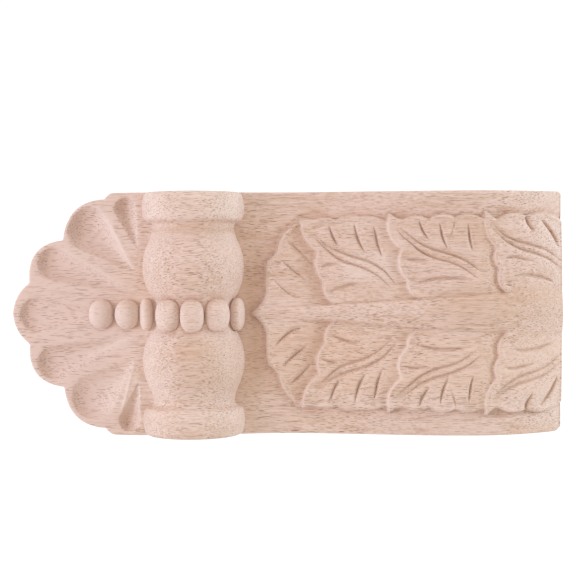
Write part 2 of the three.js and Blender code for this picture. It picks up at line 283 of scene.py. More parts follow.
def leaf_tiers(x, z, aside, height, inner):
    """The ground and the four tiers laid over it in turn: how proud they stand, how much shade is painted
    at each place, and how close to a rounded free edge, where a highlight is painted. The ground dips by
    two bells beside the leaf. A tier has a lip and a groove by its edge, falls to the sides and the top
    corners, dips by e to minus a power where the next one overlaps it, and meets what is below it in a
    parabola 1 mm wide."""
    off_leaf = np.maximum(-np.maximum.reduce(inner), 0.0)
    rise = -0.5 * bell(off_leaf, 2.4) - 0.5 * bell(off_leaf, 1.1)
    painted_shade = np.zeros(x.shape)
    for place, size, deep in CORNERS:
        corner = patch(aside, height, place, size)
        rise -= deep * corner
        # Painted shade in each deeper corner, fainter on the side of +X
        painted_shade += by_side(x, 0.6, 0.25) * corner
    edge_near = np.zeros(x.shape)
    for i, inside in enumerate(inner):
        lip = 0.25 * bell(inside - 1.0, 0.7) - 0.2 * bell(inside - 2.6, 1.0)
        top = LEAF_RISE + lip + 0.25 * wobble(x, z, 9.0, 1.0 + i) - 0.4 * smooth(35.0, 43.0, aside)
        top -= 1.3 * smooth(112.0, HALF_LENGTH, z) * smooth(24.0, 40.0, aside)
        foot = 0.0
        if i < len(TUCKS):
            gap = np.maximum(-inner[i + 1], 0.0)
            drop, reach, kept = TUCKS[i]
            drop *= kept + (1.0 - kept) * smooth(36.0, 26.0, aside)
            top -= drop * np.exp(-(gap / reach) ** 1.5)
            # Painted shade below the next tier's overlapping edge: close by, and in a wide band
            near = FOOT_SHADES[i] * bell(gap, 0.9) * (0.1 + 0.9 * smooth(31.0, 22.0, aside))
            tone, band = BAND_SHADES[i]
            foot = np.maximum(near, tone * bell(gap, band))
        cover = 1.0 - (1.0 - np.clip(inside + 0.5, 0.0, 1.0)) ** 2
        rise = rise * (1.0 - cover) + top * cover
        painted_shade = np.where(inside > 0.0, foot, painted_shade)
        # Closeness to a free edge, where a highlight is painted
        edge_near = edge_near * (inside < -0.5) + bell(inside - 0.05, 0.55) * (inside > -0.5)
    return rise, painted_shade * (1.0 - edge_near), edge_near


def leaf_cuts(x, aside, height):
    """How deep the veins and strokes go, and how much shade is painted down in them. The lowest tier's
    strokes are finer, above all on the side of -X."""
    vein, _, _, vein_along = nearest(aside, height, VEINS)
    stroke, _, _, stroke_along = nearest(aside, height, STROKES)
    shallow, _, _, shallow_along = nearest(aside, height, SHALLOWS)
    fine = smooth(13.0, 9.0, height) * by_side(x, 1.0, 0.2)
    cut = gouged(vein, vein_along, 0.5, 1.4) + 0.3 * bell(vein, 1.9)
    cut += gouged(stroke, stroke_along, 0.56 - 0.1 * fine, 1.8 - 0.8 * fine)
    broad = gouged(shallow, shallow_along, 0.58, 1.6 - 0.8 * smooth(28.0, 34.0, aside))
    depth = cut + broad + gouged(stroke, stroke_along, 2.4, 0.5)
    # Painted shade down in the cuts
    return depth, np.clip(0.9 * cut + 1.2 * broad, 0.0, 1.4)


def leaf_rib(aside, height, first_tier):
    """The rib: its height, where it covers the tiers, and the seam along its two sides. It is a parabola
    across, it widens by a power of the way to the top, and its tip is rounded down to the ground."""
    share = np.clip((height - RIB_TIP) / (HALF_LENGTH - RIB_TIP), 0.0, 1.0)
    half = RIB_HALF_WIDTH + RIB_SPREAD * share ** 0.78
    edge = LEAF_RISE - 0.8 * np.exp(-np.maximum(first_tier, 0.0) / 0.8) * (height < 0.0)
    crown = (RIB_CROWN + RIB_GROWTH * share) * (1.0 - np.clip(aside / half, 0.0, 1.0) ** 2)
    seam = bell(aside - half, 0.55) * (1.0 - smooth(0.74, 0.86, share)) * smooth(0.05, 0.2, share)
    return edge + crown, smooth(0.5, -0.5, aside - half), seam


def painted_ground_shade(x, z, aside, off_leaf):
    """How much shade is painted on the ground round the leaf: towards the roll, close beside the leaf, and
    in patches.
    """
    near_roll = smooth(2.0, -18.0, z) + 0.8 * smooth(-10.0, -18.0, z)
    tone = near_roll * (0.35 + 0.65 * smooth(47.0, 29.0, aside))
    tone += by_side(x, 1.2, 0.7) * bell(off_leaf, 1.4) * smooth(34.0, 40.0, aside)
    for place, size, shade in GROUND_SHADES:
        tone += shade * patch(x, z, place, size)
    return tone


def leaf_rise(x, z):
    """How far the carving stands proud of the plain front, how much shade is painted at each place, and
    how close it is to a rounded free edge, where a highlight is painted. The leaf is one half drawing,
    mirrored, and its lines drift to and fro by about a quarter of a millimetre, as lines cut by hand do."""
    aside = np.abs(x + 0.25 * wobble(x, z, 19.0, 0.7))
    height = z + 0.3 * wobble(x, z, 15.0, 2.9)
    inner = [depth_inside(aside, height, outline) for outline in TIERS]
    off_leaf = np.maximum(-np.maximum.reduce(inner), 0.0)
    on_leaf = smooth(0.0, 1.0, np.maximum.reduce(inner))
    rise, painted_shade, edge_near = leaf_tiers(x, z, aside, height, inner)
    depth, tone = leaf_cuts(x, aside, height)
    rise -= depth * on_leaf
    painted_shade = np.maximum(painted_shade, tone * on_leaf)
    rib, over, seam = leaf_rib(aside, height, inner[0])
    over = over * on_leaf
    seam = seam * on_leaf
    rise = rise * (1.0 - over) + rib * over - SEAM_DEPTH * seam
    # Painted shade along the rib's seams, on the ground round the leaf, and towards the side of +X
    painted_shade = painted_shade * (1.0 - over) + by_side(x, 1.1, 0.6) * seam
    painted_shade += painted_ground_shade(x, z, aside, off_leaf) * (1.0 - on_leaf) + 0.3 * smooth(50.0, 54.0, x)
    return rise, painted_shade, edge_near * (1.0 - over)


def gather(x, z, lines, mirrored=True):
    """Grid points drawn towards the nearest line, so that edges and cuts are crisp: a point at a
    distance d within the reach moves to reach times (d / reach) to the power."""
    reach = 2.0
    power = 1.6
    aside = np.abs(x) if mirrored else x
    distance, at_x, at_z, _ = nearest(aside, z, lines)
    keep = np.clip(distance / reach, 1e-6, 1.0) ** (power - 1.0)
    moved_x = at_x + (aside - at_x) * keep
    moved_z = at_z + (z - at_z) * keep
    close = distance < reach
    side = np.sign(x) if mirrored else 1.0
    return np.where(close, side * moved_x, x), np.where(close, moved_z, z)


def grid_faces(rows, columns, wraps):
    """Quads between neighbouring points of a grid, joined round the columns where it wraps."""
    index = np.arange(rows * columns).reshape(rows, columns)
    if wraps:
        index = np.hstack((index, index[:, :1]))
    quads = np.stack((index[:-1, :-1], index[:-1, 1:], index[1:, 1:], index[1:, :-1]), axis=-1)
    return quads.reshape(-1, 4)


# The block's rounded arrises, at the front, at the back and round the top end, and the radius of its
# top corners as seen from the front, on the side of -X and of +X
FRONT_ARRIS = 0.9
BACK_ARRIS = 0.5
TOP_ARRIS = 0.45
TOP_CORNERS = (1.4, 3.2)


def block_halves(heights):
    """How far each side of the block is from the middle: straight, then a quarter circle at the top."""
    halves = []
    for corner in TOP_CORNERS:
        over = np.clip(heights - (HALF_LENGTH - corner), 0.0, None)
        halves.append(HALF_WIDTH - corner + np.sqrt(np.clip(corner ** 2 - over ** 2, 0.0, None)))
    return halves


def block_side(sign, half, front_y, heights):
    """One side of the block in columns from front to back: a quarter circle, the flat, and another
    quarter circle."""
    side = []
    for angle in np.radians((22.5, 45.0, 67.5, 90.0)):
        out = half - FRONT_ARRIS + FRONT_ARRIS * np.sin(angle)
        side.append(np.stack((sign * out, front_y + FRONT_ARRIS * (1 - np.cos(angle)), heights), -1))
    side.append(np.stack((sign * half, (front_y + FRONT_ARRIS - BACK_ARRIS) * 0.5, heights), -1))
    for angle in np.radians((0.0, 45.0, 90.0)):
        out = half - BACK_ARRIS + BACK_ARRIS * np.cos(angle)
        level = np.full(heights.size, -BACK_ARRIS + BACK_ARRIS * np.sin(angle))
        side.append(np.stack((sign * out, level, heights), -1))
    return np.stack(side, axis=1)


def top_rings(ring):
    """The rings that round the top end's arris, a quarter circle inwards from the last ring."""
    inward = np.array((0.0, ring[:, 1].mean(), 0.0)) - ring
    inward[:, 2] = 0.0
    inward /= np.linalg.norm(inward, axis=1)[:, None]
    rings = []
    for angle in np.radians((45.0, 90.0)):
        drawn_in = ring + inward * TOP_ARRIS * (1.0 - math.cos(angle))
        drawn_in[:, 2] = HALF_LENGTH - TOP_ARRIS * (1.0 - math.sin(angle))
        rings.append(drawn_in)
    return np.stack(rings)


def leaf_block():
    """The block above the roll as rings of points: front, side, back, side. The front is the plain
    face plus the leaf. The rows are far apart at the bottom, which is hidden behind the roll."""
    behind_roll = np.concatenate(((-60.0, -59.9), np.linspace(-53.0, -19.0, 6)))
    heights = np.concatenate((behind_roll, np.linspace(-18.0, HALF_LENGTH - TOP_ARRIS, 236)))
    columns = np.linspace(-1.0, 1.0, 189)[None, :]
    left, right = block_halves(heights)
    z = np.repeat(heights[:, None], columns.size, axis=1)
    x = columns * (np.where(columns < 0.0, left[:, None], right[:, None]) - FRONT_ARRIS)
    edge_lines = [outline[:-1] for outline in TIERS] + VEINS + STROKES
    moved_x, moved_z = gather(x, z, edge_lines)
    fade = smooth(HALF_LENGTH - 0.6, HALF_LENGTH - 2.5, z) * (z > -17.0)
    x = x + (moved_x - x) * fade
    z = z + (moved_z - z) * fade
    rise, painted_shade, edge_near = leaf_rise(x, z)
    face = np.stack((x, -(front_depth(z) + rise), z), axis=-1)
    left_side = block_side(-1.0, left, face[:, 0, 1], heights)[:, ::-1]
    right_side = block_side(1.0, right, face[:, -1, 1], heights)
    shares = np.linspace(0.98, 0.02, 7)[None, :]
    back_x = (right - BACK_ARRIS)[:, None] * shares - (left - BACK_ARRIS)[:, None] * (1.0 - shares)
    back_z = np.repeat(heights[:, None], shares.size, axis=1)
    back = np.stack((back_x, np.zeros(back_x.shape), back_z), -1)
    rings = np.concatenate((face, right_side, back, left_side), axis=1)
    rings = np.concatenate((rings, top_rings(rings[-1])))
    marks = np.zeros(rings.shape[:2])
    # Marks for the wood: painted shade above 0, and a painted highlight below 0 by the free edges
    marks[:heights.size, :columns.size] = painted_shade - edge_near
    count = rings.shape[1]
    first_ring = np.arange(count)[::-1]
    last_ring = (rings.shape[0] - 1) * count + np.arange(count)
    quads = grid_faces(rings.shape[0], count, True)
    return rings.reshape(-1, 3), quads, [first_ring, last_ring], marks.reshape(-1)


# The shell's face slopes back from the roll to the tip. Its outline is a half line from the middle
# of the tip to the block's side, and its rim is rounded
SHELL_ROOT_HEIGHT = -64.0
SHELL_ROOT_DEPTH = 36.5
SHELL_TIP_DEPTH = 23.4
SHELL_SLOPE = (SHELL_ROOT_DEPTH - SHELL_TIP_DEPTH) / (SHELL_ROOT_HEIGHT + HALF_LENGTH)
SHELL_RIM = 1.3
SHELL_END = -45.0
SHELL_EDGE = scallops((0, -HALF_LENGTH), [(14.0, -117.0, -1.9), (33.3, -100.9, -6.3), (51.6, -81.4, -5.9),
                                          (HALF_WIDTH, -76.0, -0.9)], 14)

# The flutes: the middle and radius of the round end, the point at the roll, the depth at the round
# end, and the power that shapes the dip
FLUTES = (
    (0.5, -113.6, 7.6, 0.5, -78.0, 3.0, 0.55),
    (-22.7, -105.2, 7.5, -8.0, -64.7, 4.0, 0.75),
    (22.4, -105.6, 7.5, 9.6, -66.0, 3.7, 0.75),
    (-38.0, -88.3, 10.0, -19.0, -67.5, 5.4, 0.95),
    (37.6, -87.1, 10.0, 19.6, -67.5, 3.5, 0.95),
    (-47.4, -71.7, 4.9, -28.6, -66.0, 4.4, 1.0),
    (47.8, -70.4, 4.9, 29.4, -65.6, 4.4, 1.0),
)

# Sharp crests between flutes, from the rim towards the roll
CRESTS = [flowing(points, 2) for points in (
    [(-30.4, -102.6), (-19.8, -84.3), (-9.2, -66.8)],
    [(-47.5, -83.6), (-33.0, -75.2), (-19.5, -67.7)],
    [(43.0, -73.6), (31.0, -70.2), (20.9, -67.6)],
    [(19.0, -88.0), (13.4, -76.0), (9.0, -65.9)],
)]

# The two beads on the shell: the heights of their middles, half their width, thickness and length,
# and how far their middles stand out of the sloping face
SHELL_BEADS = (-82.9, -70.9)
SHELL_BEAD_SIZE = (6.6, 5.4, 5.6)
SHELL_BEAD_RISE = 1.0


def flute_parts(x, z, flute):
    """Where a point lies across one flute, 0 in its middle and 1 on its edge, and how far the flute has
    grown there. The flute is a circle with the two lines from its point that touch it."""
    cx, cz, radius, px, pz = flute[:5]
    reach = math.hypot(cx - px, cz - pz)
    ux = (cx - px) / reach
    uz = (cz - pz) / reach
    along = (x - px) * ux + (z - pz) * uz
    across = np.abs((x - px) * uz - (z - pz) * ux)
    spread = math.asin(radius / reach)
    in_cone = along < reach * math.cos(spread) ** 2
    half = np.where(in_cone, np.maximum(along, 1e-6) * math.tan(spread), radius)
    from_end = np.hypot(along - reach, across)
    ratio = np.where(in_cone, across / half, from_end / radius)
    outside = 9.0
    return np.where(along > 0.0, ratio, outside), np.clip(along / reach, 0.0, 1.4)


def flute_outline(flute):
    """The flute's edge as a line: from its point along one side, round the end and back."""
    cx, cz, radius, px, pz = flute[:5]
    away = math.atan2(cz - pz, cx - px)
    spread = math.asin(radius / math.hypot(cx - px, cz - pz))
    turns = np.linspace(away - math.pi / 2 - spread, away + math.pi / 2 + spread, 22)
    arc = np.stack((cx + radius * np.cos(turns), cz + radius * np.sin(turns)), -1)
    return np.vstack(((px, pz), arc, (px, pz)))


def shell_depth(x, z):
    """The sloping face of the shell less its flutes, and the shade painted at each place, below 0 where a
    highlight is painted. Each flute is deepest by its round end and runs out towards its point; across it
    the dip is (1 - q squared) to the flute's power, and outside it a softened edge falls off by e to minus
    the distance. A groove rings each bead, a cove lies by the roll, and the crests stand proud with a
    painted highlight."""
    cove = 1.2 * smooth(-68.0, -60.0, z) * smooth(7.0, 16.0, np.abs(x))
    depth = SHELL_ROOT_DEPTH + SHELL_SLOPE * (z - SHELL_ROOT_HEIGHT) - cove + 0.2 * wobble(x, z, 11.0, 5.1)
    painted_shade = np.zeros(x.shape)
    for flute in FLUTES:
        radius, deepest, power = flute[2], flute[5], flute[6]
        ratio, grown = flute_parts(x, z, flute)
        bowl = np.clip(1.0 - ratio ** 2, 0.0, 1.0) ** power
        soft = 0.3 * np.minimum(grown, 1.0) * np.exp(-np.maximum(ratio - 1.0, 0.0) * radius / 0.7)
        depth = depth - deepest * grown * bowl - soft
        # Painted shade down in each flute
        painted_shade = np.maximum(painted_shade, 0.1 * bowl * np.minimum(grown, 1.0))
    half_width, _, half_length = SHELL_BEAD_SIZE
    for height in SHELL_BEADS:
        from_middle = np.hypot(x / half_width, (z - height) / half_length)
        depth = depth - 0.25 * bell(from_middle - 1.02, 0.14)
    # Painted shade beside the cove by the roll, away from the middle
    painted_shade = np.maximum(painted_shade, 0.3 * smooth(-69.0, -64.0, z) * smooth(8.0, 14.0, np.abs(x)))
    crest, _, _, share = nearest(x, z, CRESTS)
    boat = np.sin(np.pi * np.clip(0.15 + 0.85 * share, 0.0, 1.0)) ** 0.5
    depth = depth + 0.6 * boat * np.exp(-crest / 0.8)
    # Painted highlight by the roll in the middle and along the crests
    painted_shade = painted_shade - 0.6 * smooth(-68.0, -62.0, z) * bell(x, 10.0)
    painted_shade = painted_shade - boat * (0.8 * bell(crest, 1.0) + 0.3 * bell(crest, 3.5))
    return depth, painted_shade


def both_halves(line):
    """A half line from the middle outwards, with its mirror image before it."""
    return np.vstack((line[::-1] * np.array((-1.0, 1.0)), line[1:]))


def evenly(line, count):
    """A number of points at even steps along a line."""
    walked = np.concatenate(((0.0,), np.cumsum(np.hypot(*np.diff(line, axis=0).T))))
    wanted = np.linspace(0.0, walked[-1], count)
    return np.stack([np.interp(wanted, walked, line[:, k]) for k in (0, 1)], -1)


def shell_block():
    """The shell below the roll: columns fan from a straight line inside the roll to the scalloped
    outline, then turn over the rim, a quarter circle, and run straight back to the flat back."""
    half_line = np.vstack((SHELL_EDGE, (HALF_WIDTH, SHELL_END)))
    edge = evenly(both_halves(half_line), 241)
    side = HALF_WIDTH - 0.04
    edge[:, 0] = np.clip(edge[:, 0], -side, side)
    along = np.gradient(edge, axis=0)
    out = np.stack((along[:, 1], -along[:, 0]), -1)
    out /= np.hypot(*out.T)[:, None]
    out[:, 1] *= smooth(SHELL_END, SHELL_END - 5.0, edge[:, 1])
    inner_half = HALF_WIDTH - 1.5
    inner_x = np.linspace(-inner_half, inner_half, len(edge))
    inner = np.stack((inner_x, np.full(len(edge), SHELL_END)), -1)
    start = edge - out * SHELL_RIM
    shares = np.linspace(1.0, 0.0, 88)[:, None, None]
    plan = start[None] + (inner - start)[None] * shares
    x = plan[..., 0]
    z = plan[..., 1]
    edge_lines = [flute_outline(flute) for flute in FLUTES] + CRESTS
    moved_x, moved_z = gather(x, z, edge_lines, mirrored=False)
    fade = smooth(0.0, 0.03, shares[..., 0]) * smooth(SHELL_END - 5.0, SHELL_END - 11.0, z)
    x = x + (moved_x - x) * fade
    z = z + (moved_z - z) * fade
    depth, painted_shade = shell_depth(x, z)
    rows = [np.stack((x, -depth, z), -1)]
    rim_y = -depth[-1]
    for angle in np.radians((22.5, 45.0, 67.5, 90.0)):
        flat = start + out * SHELL_RIM * math.sin(angle)
        y = rim_y + SHELL_RIM * (1 - math.cos(angle))
        rows.append(np.stack((flat[:, 0], y, flat[:, 1]), -1)[None])
    for level, inset in ((-8.0, 0.0), (-0.55, 0.0), (-0.15, 0.15), (-0.04, 0.5)):
        flat = edge - out * inset
        rows.append(np.stack((flat[:, 0], np.full(len(flat), level), flat[:, 1]), -1)[None])
    grid = np.concatenate(rows)
    height, width = grid.shape[:2]
    marks = np.concatenate((painted_shade.reshape(-1), np.zeros(height * width - painted_shade.size)))
    index = np.arange(height * width).reshape(height, width)
    back = index[-1][::-1]
    top = np.concatenate((index[0], index[1:, -1], index[-1:, 0], index[1:-1, 0][::-1]))
    quads = grid_faces(height, width, False)[:, [0, 3, 2, 1]]
    return grid.reshape(-1, 3), quads, [back, top], marks


# The roll: its axis, the distance of its necks from the middle, and half its profile from the middle
# to the end, as distance from the middle and radius
ROLL_RADIUS = 23.4
ROLL_HEIGHT = -41.8
ROLL_DEPTH = DEPTH - ROLL_RADIUS
NECK = 37.6
ROLL_PROFILE = flowing([(0.0, 18.8), (5.6, 18.9), (9.0, 20.6), (12.8, 22.1), (17.0, 23.1),
                        (21.8, ROLL_RADIUS), (26.9, 22.7), (30.5, 21.6), (34.1, 20.1), (37.4, 19.2),
                        (39.6, 19.1), (40.6, 19.6), (41.3, 20.8), (42.1, 22.2), (43.6, 23.0),
                        (47.4, ROLL_RADIUS), (50.4, 23.15), (52.6, 22.7), (53.9, 22.0), (54.42, 21.0)], 6)

# The beads on the roll: where each sits round it and how far it leans, in degrees from straight
# ahead, its middle's distance from the axis, half its thickness, half its length, its offset, and how
# much highlight is painted on it
BEAD_HALF_WIDTH = 7.4
BEADS = ((-68.5, -78.0, 22.1, 3.1, 5.2, 0.0, 1.0),
         (-32.0, -32.0, 19.1, 4.4, 5.9, 0.2, 0.3),
         (2.0, 2.0, 19.1, 4.4, 5.3, 0.4, 0.3),
         (37.0, 37.0, 19.1, 4.4, 5.9, 0.2, 0.3),
         (73.0, 78.0, 21.0, 3.2, 5.4, 0.2, 0.3))


def turned_roll():
    """The roll: a profile of radius against distance from the middle, turned round a level axis, and a
    little uneven. It has few steps at the back, which is hidden in the block. A shallow groove rings
    each of the three front beads. Shade is painted in the necks, in the grooves and towards the end of
    +X, and a highlight on the collar of -X and above the first bead."""
    across, radius = evenly(both_halves(ROLL_PROFILE), 131).T
    turns = np.radians(np.concatenate((np.linspace(-102.0, 102.0, 103), np.linspace(118.0, 242.0, 8))))
    x = np.repeat(across[:, None], turns.size, axis=1)
    r = radius[:, None] + 0.12 * wobble(x, ROLL_RADIUS * np.sin(turns)[None], 8.0, 6.3)
    # Painted shade in the necks and towards the end of +X, painted highlight on the collar of -X and above
    # the first bead
    painted_shade = by_side(x, 1.1, 0.5) * bell(np.abs(x) - NECK, 1.7)
    painted_shade += 0.2 * smooth(44.0, 50.0, x) - 0.45 * smooth(-40.8, -42.5, x)
    painted_shade -= bell(x, 10.0) * smooth(-50.0, -65.0, np.degrees(turns))[None]
    neck_radius = 21.0
    for degrees, _, _, _, half_length, offset, _ in BEADS[1:4]:
        round_way = neck_radius * (turns[None] - math.radians(degrees))
        from_middle = np.hypot((x - offset) / BEAD_HALF_WIDTH, round_way / half_length)
        groove = 0.35 * bell(from_middle - 1.04, 0.13)
        r = r - groove
        # Painted shade in each groove
        painted_shade = np.maximum(painted_shade, groove)
    y = -ROLL_DEPTH - r * np.cos(turns)[None]
    z = ROLL_HEIGHT + r * np.sin(turns)[None]
    grid = np.stack((x, y, z), -1)
    count = turns.size
    first_ring = np.arange(count)
    last_ring = ((across.size - 1) * count + np.arange(count))[::-1]
    quads = grid_faces(across.size, count, True)[:, ::-1]
    return grid.reshape(-1, 3), quads, [first_ring, last_ring], painted_shade.reshape(-1)


def squared(wave, power):
    """A wave between -1 and 1 with fuller shoulders: its size to the power, with its sign kept."""
    return np.sign(wave) * np.abs(wave) ** power


def bead(place, lean, size, fullness, painted_highlight):
    """One bead: a rounded knob at an offset, depth and height, an ellipsoid where the fullness is 1 and
    squarer below that. Each point is a sine and a cosine of two angles to the power of the fullness,
    times half the size, turned by the lean."""
    offset, depth, height = place
    half_width, half_thickness, half_length = size
    rows = np.linspace(0.0, np.pi, 17)[1:-1]
    turns = np.linspace(0.0, 2 * np.pi, 28, endpoint=False)
    ring = np.sin(rows)[:, None] ** fullness
    x = offset + half_width * squared(np.cos(rows), fullness)[:, None] * np.ones(turns.size)[None]
    out = half_thickness * ring * squared(np.cos(turns), fullness)[None]
    rise = half_length * ring * squared(np.sin(turns), fullness)[None]
    y = -depth - (out * math.cos(lean) - rise * math.sin(lean))
    z = height + out * math.sin(lean) + rise * math.cos(lean)
    points = np.stack((x, y, z), -1).reshape(-1, 3)
    ends = np.array(((offset + half_width, -depth, height), (offset - half_width, -depth, height)))
    points = np.vstack((points, ends))
    count = turns.size
    first_end = rows.size * count
    around = np.arange(count)
    after = np.roll(around, -1)
    last_row = (rows.size - 1) * count
    first = np.stack((np.full(count, first_end), after, around), -1)
    last = np.stack((np.full(count, first_end + 1), last_row + around, last_row + after), -1)
    quads = grid_faces(rows.size, count, True)
    # The bead's marks: a painted highlight over the whole bead
    return points, quads, [*first, *last], np.full(len(points), -painted_highlight)


def all_beads():
    """The five beads on the roll and the two on the shell, which lean with what they sit on."""
    beads = []
    for degrees, lean, reach, half_thickness, half_length, offset, painted_highlight in BEADS:
        turned = math.radians(degrees)
        place = (offset, ROLL_DEPTH + reach * math.cos(turned), ROLL_HEIGHT + reach * math.sin(turned))
        size = (BEAD_HALF_WIDTH, half_thickness, half_length)
        beads.append(bead(place, math.radians(lean), size, 0.86, painted_highlight))
    for height in SHELL_BEADS:
        depth = SHELL_ROOT_DEPTH + SHELL_SLOPE * (height - SHELL_ROOT_HEIGHT) + SHELL_BEAD_RISE
        beads.append(bead((0.0, depth, height), -math.atan(SHELL_SLOPE), SHELL_BEAD_SIZE, 0.95, 0.7))
    return beads


def build_corbel():
    """Joins the block, shell, roll and beads in one mesh. Each brings its points, its quads, its other
    faces, and one mark for each point, above 0 for painted shade and below 0 for a painted highlight.
    Three attributes tell the wood of that, and of how far the surface cuts across the grain, which is
    the size of the normal's height."""
    points = []
    corners = []
    sizes = []
    flat = []
    marks = []
    start = 0
    for verts, quads, others, part_marks in [leaf_block(), shell_block(), turned_roll(), *all_beads()]:
        points.append(verts)
        marks.append(part_marks)
        corners.append(quads.reshape(-1) + start)
        sizes.append(np.full(len(quads), 4))
        flat.append(np.ones(len(quads), bool))
        for loop in others:
            corners.append(np.asarray(loop) + start)
            sizes.append(np.array((len(loop),)))
            flat.append(np.array((len(loop) == 3,)))
        start += len(verts)
    points = np.vstack(points) / 1000.0
    corners = np.concatenate(corners)
    sizes = np.concatenate(sizes)
    marks = np.concatenate(marks)
    mesh = bpy.data.meshes.new("carved_corbel")
    mesh.vertices.add(len(points))
    mesh.vertices.foreach_set("co", points.reshape(-1))
    mesh.loops.add(len(corners))
    mesh.loops.foreach_set("vertex_index", corners)
    mesh.polygons.add(len(sizes))
    mesh.polygons.foreach_set("loop_start", np.concatenate(((0,), np.cumsum(sizes)[:-1])))
    mesh.polygons.foreach_set("use_smooth", np.concatenate(flat))
    mesh.update(calc_edges=True)
    mesh.validate()
    normals = np.empty(len(points) * 3, np.float32)
    mesh.vertices.foreach_get("normal", normals)
    for name, values in (("painted_shade", np.maximum(marks, 0.0)), ("edge", np.maximum(-marks, 0.0)),
                         ("slant", np.abs(normals[2::3]))):
        kept = mesh.attributes.new(name, "FLOAT", "POINT")
        kept.data.foreach_set("value", values)
    return bpy.data.objects.new("carved_corbel", mesh)


class Wire:
    """A shader socket that arithmetic can be written with, and that can feed further nodes."""

    def __init__(self, tree, socket):
        self.tree = tree
        self.socket = socket

    def node(self, kind, settings=None, inputs=None, output=0):
        """Adds one node, sets it up, feeds its inputs and gives back one of its outputs."""
        made = self.tree.nodes.new(kind)
        for name, value in (settings or {}).items():
            setattr(made, name, value)
        for name, value in (inputs or {}).items():
            if isinstance(value, Wire):
                self.tree.links.new(value.socket, made.inputs[name])
            else:
                made.inputs[name].default_value = value
        return Wire(self.tree, made.outputs[output])

    def math(self, operation, *values):
        inputs = dict(enumerate((self,) + values))
        return self.node("ShaderNodeMath", {"operation": operation}, inputs)

    def __add__(self, other):
        return self.math("ADD", other)

    __radd__ = __add__

    def __mul__(self, other):
        return self.math("MULTIPLY", other)

    __rmul__ = __mul__

    def __sub__(self, other):
        return self.math("SUBTRACT", other)

    def __rsub__(self, other):
        return (self * -1.0) + other

    def ramp(self, low, high):
        """Smooth step: 0 at low and 1 at high."""
        settings = {"interpolation_type": "SMOOTHSTEP"}
        inputs = {"Value": self, "From Min": low, "From Max": high}
        return self.node("ShaderNodeMapRange", settings, inputs)

    def axis(self, index):
        """One coordinate of a position."""
        return self.node("ShaderNodeSeparateXYZ", {}, {"Vector": self}, index)

    def stretch(self, x, y, z):
        """The position with each axis multiplied."""
        return self.node("ShaderNodeVectorMath", {"operation": "MULTIPLY"}, {0: self, 1: (x, y, z)})

    def shift(self, amount):
        """The position moved by an amount along every axis."""
        settings = {"operation": "ADD"}
        return self.node("ShaderNodeVectorMath", settings, {0: self, 1: (amount, amount, amount)})

    def noise(self, detail=2.0, roughness=0.5):
        """Smooth noise around 0.5, with lumps about one unit of the position wide."""
        inputs = {"Vector": self, "Scale": 1.0, "Detail": detail, "Roughness": roughness}
        return self.node("ShaderNodeTexNoise", {}, inputs)

    def blend(self, factor, other):
        """This colour where the factor is 0 and the other where it is 1."""
        made = self.tree.nodes.new("ShaderNodeMix")
        made.data_type = "RGBA"
        for slot, value in ((0, factor), (6, self), (7, other)):
            if isinstance(value, Wire):
                self.tree.links.new(value.socket, made.inputs[slot])
            else:
                made.inputs[slot].default_value = value
        return Wire(self.tree, made.outputs[2])


# The wood's colours; TAN also paints shade and PALE also paints highlights
LIGHT = (0.76, 0.575, 0.49, 1.0)
WARM = (0.74, 0.51, 0.385, 1.0)
PINK = (0.73, 0.52, 0.445, 1.0)
TAN = (0.56, 0.35, 0.23, 1.0)
DARK = (0.25, 0.12, 0.07, 1.0)
PALE = (0.80, 0.65, 0.575, 1.0)
ROSE = (0.665, 0.478, 0.408, 1.0)

# The pores in three sizes: cells to a metre across the grain and along it, the share of a cell that
# is open, and a shift that keeps the three apart
PORES = ((2300, 150, 0.28, 0.0), (2300, 60, 0.26, 3.7), (1400, 65, 0.20, 8.1))


def open_pores(place, edge):
    """Where the wood has open pores: the middles of long thin cells in the solid, each of its own
    strength, so they are dashes on faces along the grain and dots on faces across it. They crowd
    together in some places and fade where the edge mark is: rubbed away on rounded edges, and under the
    painted highlights."""
    pore = None
    for across, along, size, shift in PORES:
        grain = place.stretch(across, across * 0.5, along).shift(shift)
        cell = grain.node("ShaderNodeTexVoronoi", {}, {"Vector": grain, "Scale": 1.0, "Randomness": 1.0})
        colour = Wire(cell.tree, cell.socket.node.outputs["Color"])
        chance = colour.node("ShaderNodeSeparateColor", {}, {"Color": colour})
        one_size = (1.0 - cell.ramp(size * 0.65, size)) * (0.4 + 0.6 * chance)
        pore = one_size if pore is None else pore.math("MAXIMUM", one_size)
    crowd = place.stretch(60, 60, 12).noise()
    return pore * (0.55 + 0.45 * crowd.ramp(0.38, 0.6)) * (1.0 - 0.85 * edge)


def streaked_wood(place, midrib):
    """The wood's figure: warm streaks, pink drifts, thin tan vessel lines, bunches of rust lines, which
    the rib's middle has too, and fine threads, all of them noise stretched along the grain."""
    streak = place.stretch(55, 55, 7).shift(23.7).noise(3.0, 0.55)
    drift = place.stretch(14, 14, 6).shift(37.1).noise()
    vessel = place.stretch(260, 200, 9).noise()
    bunch = place.stretch(70, 70, 18).noise(1.0).ramp(0.48, 0.62).math("MAXIMUM", midrib)
    rust = place.stretch(750, 750, 24).noise(1.0)
    thread = place.stretch(1800, 900, 45).noise(1.0)
    base = place.node("ShaderNodeRGB")
    base.socket.default_value = LIGHT
    base = base.blend(streak.ramp(0.45, 0.68) * 0.8, WARM)
    base = base.blend(drift.ramp(0.45, 0.7) * 0.6, PINK)
    base = base.blend(vessel.ramp(0.56, 0.74) * streak.ramp(0.42, 0.62) * 0.5, TAN)
    base = base.blend(rust.ramp(0.42, 0.62) * bunch * 0.4, TAN)
    return base.blend(thread.ramp(0.48, 0.68) * 0.42, TAN)


